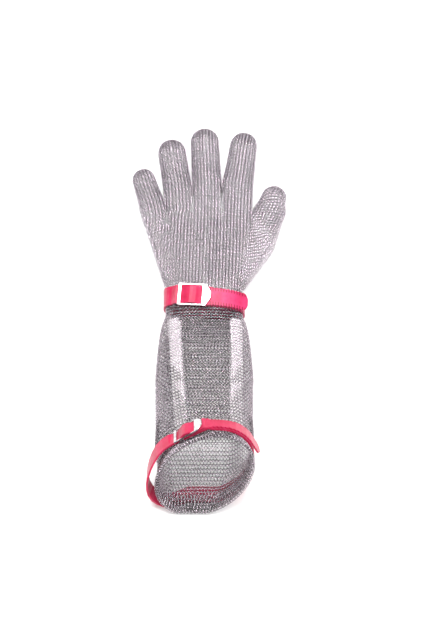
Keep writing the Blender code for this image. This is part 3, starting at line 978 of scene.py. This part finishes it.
@dataclass
class Cuff:
    """The long cuff, woven around, with a doubled hem at its open rim.

    The table's columns are a section's share of the length, and there the shares of the way to the rim's
    half-width and height, the share of the wrist's lift off the ground and the depth of the top's trough.
    """

    wrist: Wrist
    steel: Material
    mouth_steel: Material
    half_width: float = 0.0512
    top_length: float = 0.172
    underside_length: float = 0.227
    rim_height: float = 0.090
    rim_lean: float = 0.014
    rim_power: float = 2.05
    rim_flatten: float = 0.03
    flatten: float = UNDERSIDE_CUT
    trough_depth: float = 0.0045
    trough_centre: float = 0.0035
    trough_half_width: float = 0.027
    table: tuple[tuple[float, ...], ...] = (
        (0.0, 0.0, 0.0, 1.0, 0.0),
        (0.07, 0.436, 0.067, 0.3, 0.2),
        (0.14, 0.648, 0.133, 0.0, 0.5),
        (0.25, 0.836, 0.231, 0.0, 0.9),
        (0.38, 1.0, 0.313, 0.0, 1.0),
        (0.52, 0.953, 0.395, 0.0, 1.0),
        (0.66, 0.906, 0.46, 0.0, 0.8),
        (0.78, 0.97, 0.509, 0.1, 0.5),
        (0.85, 0.70, 0.56, 1.0, 0.25),
        (0.905, 0.68, 0.69, 1.0, 0.1),
        (0.955, 0.70, 0.81, 1.0, 0.0),
        (1.0, 0.906, 1.0, 1.0, 0.0),
    )
    under_strap: tuple[float, ...] = (-0.00015, -0.004, -0.008)
    strap_row: float = 0.905
    strap_reach: float = 0.04
    press_index: int = 15
    press_depth: float = 0.003
    press_reach: float = 0.055
    press_ease: float = 0.035
    soften: float = 0.012
    steps: int = 50
    row_count: int = 100
    free: Pair = (0.0010, 0.0008)
    lengths: tuple[tuple[str, float, float], ...] = (
        ("near", -0.065, 0.01), ("middle", -0.125, -0.065), ("far", -0.3, -0.125),
    )
    # The stays serve only to place painted light. stay_light, side_light and inside_light are painted light
    # on the rings over the stays, on the flanks and inside the mouth; bright_from and bright_over set where
    # the inner side is painted bright.
    stays: tuple[Object, ...] = ()
    stay_light: float = 0.88
    stay_band: float = 0.002
    side_light: float = 0.66
    side_rate: float = 2.5
    side_start: float = 0.6
    inside_light: float = 0.15
    inside_from: float = 0.5
    bright_from: float = 0.135
    bright_over: float = 0.03
    hem_covers: float = 0.92
    hem_start: float = 0.905
    hem_rows: int = 12
    hem_steps: int = 10
    hem_depth: float = 0.0014
    hem_free: Pair = (0.0006, 0.0004)
    lip_depth: float = 0.0017
    lip_ahead: float = 0.0008
    lip_samples: int = 400
    ring: RingSize = RingSize(radius=0.0019, lean=29.0, focus=1.0)
    first_seed: int = 30
    mouth_seed: int = 39
    hem_seed: int = 40
    lip_seed: int = 41

    def sizes(self, share: float) -> list[float]:
        """The table's sizes at one section, with their corners softened.

        Args:
            share: the section's share of the cuff's length.

        Returns:
            The values of the table's columns after the first.
        """
        columns = np.array(self.table).T
        near = [min(1.0, max(0.0, share + step * self.soften)) for step in (-1, 0, 1)]
        return [float(np.mean(np.interp(near, columns[0], column))) for column in columns[1:]]

    def section(self, share: float) -> Array:
        """One outer section, pressed flat under the buckle.

        Args:
            share: the section's share of the cuff's length.

        Returns:
            The section's points.
        """
        points = self.plain_section(share)
        off = abs(share - self.strap_row) - self.press_reach
        weight = 1 - ease(min(1.0, max(0.0, off / self.press_ease)))
        if weight == 0:
            return points
        place, out = self.press_plane()
        depth = np.maximum(0.0, (points - place) @ out + self.press_depth)
        return points - out * (depth * weight)[:, None]

    def press_plane(self) -> tuple[Array, Array]:
        """Where the buckle presses.

        Returns:
            A place under the buckle before it is pressed, and the outward vector there.
        """
        before, here, after = self.plain_section(self.strap_row)[self.press_index - 1:self.press_index + 2]
        fore = self.plain_section(self.strap_row + self.strap_reach)[self.press_index]
        aft = self.plain_section(self.strap_row - self.strap_reach)[self.press_index]
        run = unit(after - before)
        across = aft - fore
        across = unit(across - run * np.dot(across, run))
        return here, unit(unit(np.cross(across, here - before)) + unit(np.cross(across, after - here)))

    def plain_section(self, share: float) -> Array:
        """One outer section, before it is pressed.

        Args:
            share: the section's share of the cuff's length.

        Returns:
            The section's points.
        """
        width, height, lift, trough = self.sizes(share)
        power = blend(self.wrist.power, self.rim_power, share)
        flatten = blend(self.flatten, self.rim_flatten, share**4)
        half_width = blend(self.wrist.half_width, self.half_width, width)
        top = blend(self.wrist.height, self.rim_height, height)
        angles = loop_angles(self.wrist.points)
        flat = oval(angles, half_width, top, self.wrist.strap_lift * lift, power, flatten)
        x, z = flat[:, 0], flat[:, 1]
        x = x + blend(self.wrist.centre_x, 0.0, share) + self.rim_lean * share**3 * (2 * z / top - 1)
        off = np.minimum(1.0, np.abs(x - self.trough_centre) / self.trough_half_width)
        z = z - np.where(z > top / 2, self.trough_depth * trough * (1 - off**4), 0.0)
        length = blend(self.underside_length, self.top_length, z / top) - self.wrist.behind
        return np.stack([x, -self.wrist.behind - share * length, z], axis=-1)

    def skin(self) -> Skin:
        """The cuff's surface, from under the wrist strap to the rim.

        Returns:
            The skin.
        """
        rows = [self.wrist.section(behind, self.wrist.strap_lift) for behind in self.under_strap]
        rows.extend(self.section(step / self.steps) for step in range(self.steps + 1))
        return Skin(np.array(rows))

    def build(self) -> None:
        """Weaves the cuff in three lengths, its inside at the mouth and its hem."""
        skin = self.skin()
        lattice = Weaver(skin, self.ring, self.wrist.points / 4).around(*self.free, self.row_count)
        self.painted_shading(lattice)
        inside = lattice.turned >= self.inside_from
        for number, (name, low, high) in enumerate(self.lengths):
            chosen = pick(lattice, (lattice.places[:, 1] > low) & (lattice.places[:, 1] <= high) & ~inside)
            piece = ring_mesh(f"cuff_rings_{name}", chosen, self.ring, self.first_seed + number)
            dress(piece, self.steel, "mail_cuff")
        # The rings seen inside the mouth, the hem and the lip take the mouth's copy, with lighter painted
        # shade.
        rest = (
            ("mouth_rings", pick(lattice, inside), self.mouth_seed),
            ("hem_rings", self.hem(skin), self.hem_seed),
            ("lip_rings", self.lip(skin), self.lip_seed),
        )
        for name, chosen, seed in rest:
            dress(ring_mesh(name, chosen, self.ring, seed), self.mouth_steel, "mail_cuff")

    def painted_shading(self, lattice: Lattice) -> None:
        """Sets which side of each ring is painted bright, and how much pale light is painted on it.

        Args:
            lattice: the cuff's rings, which are changed.
        """
        # Deep in the cuff, rings on its lower wall, seen from inside through the mouth, are painted bright
        # on their inner side.
        depth = np.clip((-lattice.places[:, 1] - self.bright_from) / self.bright_over, 0.0, 1.0)
        lattice.turned = ease(depth) * np.clip(self.inside_from - lattice.outward[:, 2], 0.0, 1.0)
        # The hem's outer layer keeps its painted bright side outward, which leaves its inner side in painted
        # shade.
        hem_rows = np.arange(self.row_count + 1) > self.row_count * self.hem_covers
        lattice.turned[hem_rows[lattice.row]] = 0.0
        # Painted light on the rings seen inside the mouth, on the cuff's flanks and over the stays.
        lattice.lit = self.inside_light * ease(np.clip(2 * lattice.turned, 0.0, 1.0))
        flank = np.clip(self.side_rate * np.abs(lattice.outward[:, 0]) - self.side_start, 0.0, 1.0)
        lattice.lit += self.side_light * flank * (lattice.turned == 0)
        for stay in self.stays:
            lattice.lit[self.over(lattice, stay)] = self.stay_light

    def over(self, lattice: Lattice, stay: Object) -> Array:
        """Which rings lie on a stay.

        Args:
            lattice: the cuff's rings.
            stay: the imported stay.

        Returns:
            Whether each ring does.
        """
        corners = np.empty(3 * len(stay.data.vertices))
        stay.data.vertices.foreach_get("co", corners)
        corners = corners.reshape(-1, 3)
        corners[:, 1] += REST_AHEAD
        levels = np.unique(corners[:, 1].round(3))
        near = [corners[np.abs(corners[:, 1] - level) < self.stay_band] for level in levels]
        left = np.interp(lattice.places[:, 1], levels, [band[:, 0].min() for band in near])
        right = np.interp(lattice.places[:, 1], levels, [band[:, 0].max() for band in near])
        x, y, up = lattice.places[:, 0], lattice.places[:, 1], lattice.outward[:, 2] > 0
        return up & (x > left) & (x < right) & (y > levels[0]) & (y < levels[-1])

    def hem(self, skin: Skin) -> Lattice:
        """The hem's inner layer of rings, whose rows run lengthwise.

        Args:
            skin: the cuff's surface.

        Returns:
            The layer's lattice.
        """
        first = skin.last - self.steps * (1 - self.hem_start)
        along = np.linspace(first, skin.last, self.hem_rows)[:, None]
        around = np.arange(skin.columns)[None, :]
        folded = Skin(skin.at(along, around) - skin.normal(along, around) * self.hem_depth)
        lattice = Weaver(folded, self.ring, self.wrist.points / 4).around(*self.hem_free, self.hem_steps)
        lattice.course = np.cross(lattice.outward, lattice.course)
        # The hem's inner layer is painted bright on its inner side, which faces the mouth.
        lattice.turned = np.ones(len(lattice.places))
        return lattice

    def lip(self, skin: Skin) -> Lattice:
        """The row of rings that joins the hem's two layers at the rim.

        Args:
            skin: the cuff's surface.

        Returns:
            The row's lattice.
        """
        around = np.linspace(0.0, skin.columns, self.lip_samples)
        line = skin.at(np.full(self.lip_samples, skin.last), around)
        length = distances(line[None])[0]
        count = 2 * round(length[-1] / self.ring.pitch)
        over = np.interp(np.arange(count) * length[-1] / count, length, around)
        last = np.full(count, float(skin.last))
        places, normal = skin.at(last, over), skin.normal(last, over)
        ahead = unit(places - skin.at(last - 1, over))
        course = unit(np.cross(ahead, normal))
        outward = unit(np.cross(normal, course))
        outward *= np.sign(np.sum(outward * ahead, axis=-1, keepdims=True))
        places = places - normal * self.lip_depth + outward * self.lip_ahead
        course = np.cross(outward, course)
        return Lattice(places, outward, course, np.arange(count) % 2, np.full(count, self.ring.spacing),
                       np.zeros(count), np.zeros(count), np.zeros(count, dtype=int))


class Fitting(Enum):
    """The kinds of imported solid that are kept, by the word in their nodes' names."""

    STRAP = "strap"
    BUCKLE = "buckle"
    RIVET = "rivet"
    STAY = "stay"


@dataclass
class Fittings:
    """The straps, buckles, rivets and stays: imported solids, kept with broken edges and real finishes."""

    finishes: dict[str, Material]
    edges: dict[Fitting, float] = field(
        default_factory=lambda: {Fitting.STRAP: 0.0004, Fitting.BUCKLE: 0.0005, Fitting.STAY: 0.0003})
    edge_segments: int = 2
    edge_angle: float = 40.0

    def finish(self, name: str, kind: Fitting) -> Material:
        """The finish of one node, or of all nodes of its kind."""
        return self.finishes[name if name in self.finishes else kind.value]

    def build(self, nodes: dict[str, Object]) -> None:
        """Dresses every kept node.

        Args:
            nodes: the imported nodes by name.
        """
        for name, node in nodes.items():
            kind = next((kind for kind in Fitting if kind.value in name), None)
            if kind is None:
                continue
            node.data.materials.clear()
            node.data.materials.append(self.finish(name, kind))
            if kind in self.edges:
                bevel = node.modifiers.new("Broken edges", "BEVEL")
                bevel.width = self.edges[kind]
                bevel.segments = self.edge_segments
                bevel.limit_method = "ANGLE"
                bevel.angle_limit = math.radians(self.edge_angle)
            LOG.info("%s: kept with its %s finish", name, kind.value)


@dataclass(frozen=True)
class Lamp:
    """One square soft light."""

    name: str
    place: tuple[float, float, float]
    size: float
    watts: float


@dataclass
class Studio:
    """A pale floor, soft lights and a camera above the cuff's end."""

    floor_size: float = 16.0
    elevation: float = 68.0
    distance: float = 8.0
    lens: float = 434.7
    sensor: float = 36.0
    clip: Pair = (0.05, 50.0)
    target: tuple[float, float, float] = (0.0058, -0.0637, 0.0)
    sky: float = 0.12
    lamps: tuple[Lamp, ...] = (
        Lamp("key_light", (-0.25, 0.55, 2.0), 1.5, 74.0),
        Lamp("fill_light", (0.9, 0.1, 2.0), 1.2, 28.0),
        Lamp("mouth_light", (0.1, -1.3, 1.2), 0.8, 14.0),
    )

    def floor(self) -> None:
        """Lays the floor."""
        half = self.floor_size / 2
        mesh = bpy.data.meshes.new("floor")
        corners = [(-half, -half, 0.0), (half, -half, 0.0), (half, half, 0.0), (-half, half, 0.0)]
        mesh.from_pydata(corners, [], [(0, 1, 2, 3)])
        mesh.materials.append(FLOOR_PALE.material())
        piece = bpy.data.objects.new("floor", mesh)
        bpy.context.scene.collection.objects.link(piece)

    def hang(self, lamp: Lamp) -> None:
        """Hangs one light that faces the glove.

        Args:
            lamp: the light.
        """
        data = bpy.data.lights.new(lamp.name, "AREA")
        data.size = lamp.size
        data.energy = lamp.watts
        light = bpy.data.objects.new(lamp.name, data)
        light.location = lamp.place
        light.rotation_euler = (Vector(self.target) - Vector(lamp.place)).to_track_quat("-Z", "Y").to_euler()
        bpy.context.scene.collection.objects.link(light)

    def camera(self) -> None:
        """Sets the camera."""
        data = bpy.data.cameras.new("camera")
        data.sensor_width = self.sensor
        data.lens = self.lens
        data.clip_start, data.clip_end = self.clip
        lens = bpy.data.objects.new("camera", data)
        lean = math.radians(self.elevation)
        back = Vector((0.0, -math.cos(lean), math.sin(lean)))
        lens.location = Vector(self.target) + back * self.distance
        lens.rotation_euler = (-back).to_track_quat("-Z", "Y").to_euler()
        bpy.context.scene.collection.objects.link(lens)
        bpy.context.scene.camera = lens

    def build(self) -> None:
        """Builds the studio."""
        scene = bpy.context.scene
        world = bpy.data.worlds.new("studio")
        world.use_nodes = True
        background = world.node_tree.nodes["Background"].inputs
        background["Color"].default_value = (1.0, 1.0, 1.0, 1.0)
        background["Strength"].default_value = self.sky
        scene.world = world
        scene.view_settings.view_transform = "Standard"
        self.floor()
        for lamp in self.lamps:
            self.hang(lamp)
        self.camera()


def main() -> None:
    """Builds the glove and its studio."""
    logging.basicConfig(level=logging.INFO, format="%(message)s")
    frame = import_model()
    Studio().build()
    wrist = Wrist()
    Hand(wrist, RingSteel().material()).build()
    # Copies of the ring steel that differ only in painted shade: deeper on the cuff and lighter inside the
    # mouth.
    cuff_steel = RingSteel("cuff_steel", painted_shade=CUFF_PAINTED_SHADE).material()
    mouth_steel = RingSteel("mouth_steel", painted_shade=MOUTH_PAINTED_SHADE).material()
    stays = tuple(frame["nodes"][name] for name in ("stay_left", "stay_right"))
    Cuff(wrist, cuff_steel, mouth_steel, stays=stays).build()
    buckle_steel = BUCKLE_BRIGHT.material()
    finishes = {
        "wrist_strap": StrapPlastic("strap_red_wrist", 0.09, 0.003 - REST_AHEAD, 0.0045).material(),
        "cuff_strap": StrapPlastic("strap_red_cuff", 0.0, 0.0, 0.3).material(),
        "buckle": buckle_steel,
        "rivet": buckle_steel,
        "stay": STAY_WHITE.material(),
    }
    Fittings(finishes).build(frame["nodes"])


if __name__ == "__main__":
    main()
